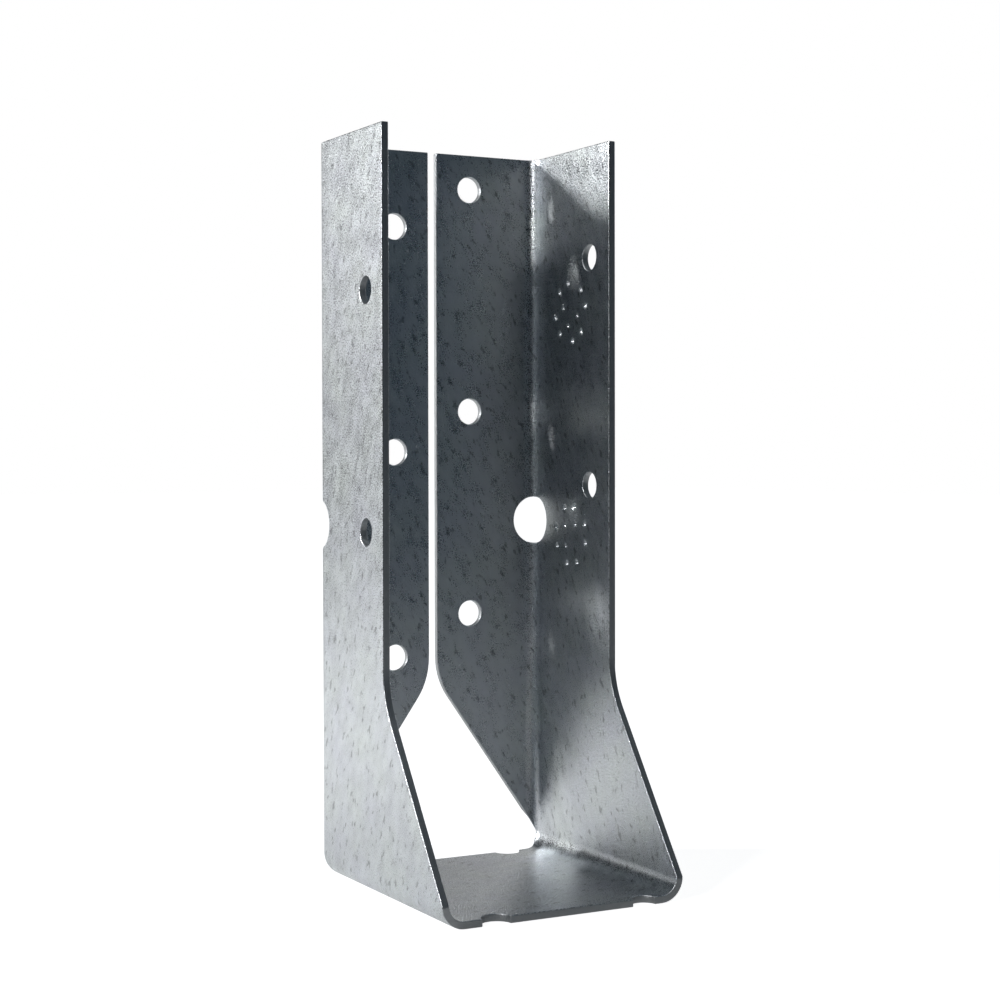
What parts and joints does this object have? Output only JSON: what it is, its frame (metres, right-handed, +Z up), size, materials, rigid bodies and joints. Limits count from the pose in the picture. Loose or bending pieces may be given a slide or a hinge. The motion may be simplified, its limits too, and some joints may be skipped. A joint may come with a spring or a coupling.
{
  "type": "joist hanger",
  "caption": "Folded galvanised steel joist hanger with inward-turned flanges, flared sides, a seat for the joist and punched nail holes",
  "frame": {"origin": "under the middle of the hanger, on the surface that its seat stands on", "axes": "+Z is up along the sides, +X runs across the joist to the right side, +Y points from the joist's end into the header that the flanges are nailed to"},
  "size_m": [0.0422, 0.0464, 0.1213],
  "materials": {
    "galvanised_sheet": "hot-dip galvanised, skin-passed, dull grey with a fine grain"
  },
  "bodies": {
    "root": {"joist_hanger": "galvanised_sheet"}
  },
  "joints": []
}
